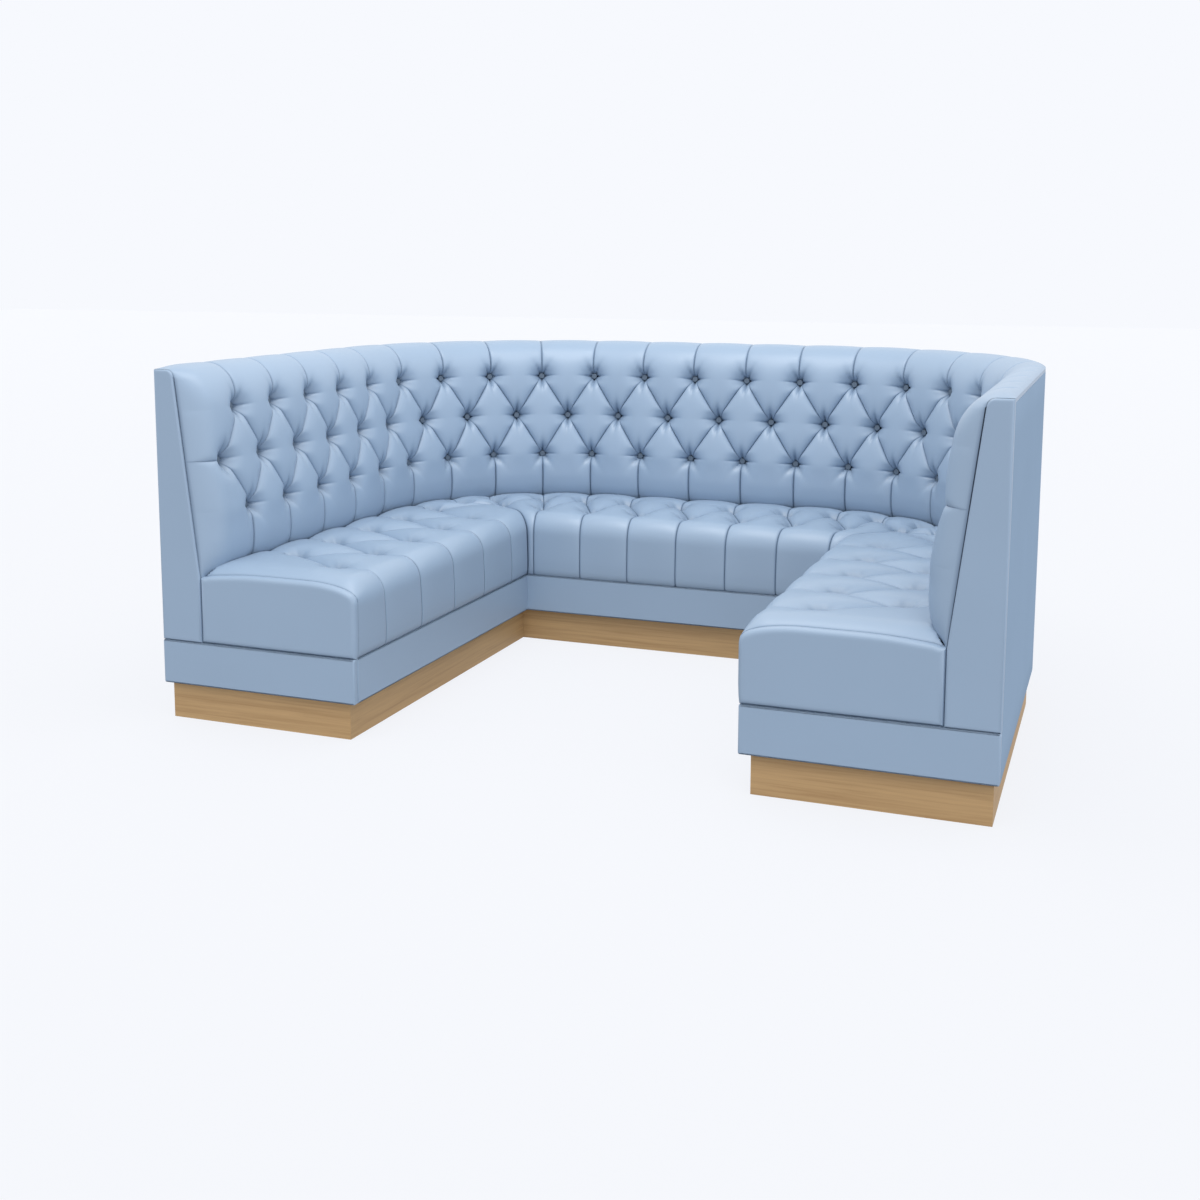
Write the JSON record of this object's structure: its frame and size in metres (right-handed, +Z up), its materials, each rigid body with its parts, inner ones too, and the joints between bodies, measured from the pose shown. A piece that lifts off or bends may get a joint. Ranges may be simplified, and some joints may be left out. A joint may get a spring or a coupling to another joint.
{
  "type": "upholstered banquette bench",
  "caption": "U-shaped upholstered banquette with a high deep-buttoned back that curves round two corners, a channelled and tufted seat, padded rails and a recessed oak plinth.",
  "frame": {"origin": "middle of the outside plan sizes, on the floor", "axes": "+Z up; the open side of the U faces -Y; +X towards the right arm as seen from the open side"},
  "size_m": [2.448, 1.896, 1.072],
  "materials": {
    "vinyl": "satin powder-blue coated vinyl over foam",
    "oak": "satin lacquered oak, grain along the boards",
    "plywood": "bare birch plywood",
    "softwood": "planed softwood",
    "hardboard": "smooth hardboard",
    "steel": "zinc-plated"
  },
  "bodies": {
    "root": {"back_pad_centre": "vinyl", "back_pad_left": "vinyl", "back_pad_right": "vinyl", "back_ribs_centre": "plywood", "back_ribs_left": "plywood", "back_ribs_right": "plywood", "base_board_centre": "plywood", "base_board_left": "plywood", "base_board_right": "plywood", "buttons_row_1": "vinyl", "buttons_row_2": "vinyl", "buttons_row_3": "vinyl", "end_panel_left": "vinyl", "end_panel_right": "vinyl", "front_board_centre": "plywood", "front_board_left": "plywood", "front_board_right": "plywood", "inner_back_board_centre": "hardboard", "inner_back_board_left": "hardboard", "inner_back_board_right": "hardboard", "joining_plates": "steel", "outside_back_centre": "vinyl", "outside_back_left": "vinyl", "outside_back_right": "vinyl", "plinth_bearers_centre": "softwood", "plinth_bearers_left": "softwood", "plinth_bearers_right": "softwood", "plinth_end_left": "oak", "plinth_end_right": "oak", "plinth_inner_centre": "oak", "plinth_inner_left": "oak", "plinth_inner_right": "oak", "plinth_outer_centre": "oak", "plinth_outer_left": "oak", "plinth_outer_right": "oak", "rail_centre": "vinyl", "rail_end_left": "vinyl", "rail_end_right": "vinyl", "rail_inner_left": "vinyl", "rail_inner_right": "vinyl", "seat_deck_centre": "plywood", "seat_deck_left": "plywood", "seat_deck_right": "plywood", "seat_end_left": "vinyl", "seat_end_right": "vinyl", "seat_pad_centre": "vinyl", "seat_pad_left": "vinyl", "seat_pad_right": "vinyl", "seat_ribs_centre": "plywood", "seat_ribs_left": "plywood", "seat_ribs_right": "plywood", "top_rail_centre": "softwood", "top_rail_left": "softwood", "top_rail_right": "softwood"}
  },
  "joints": []
}
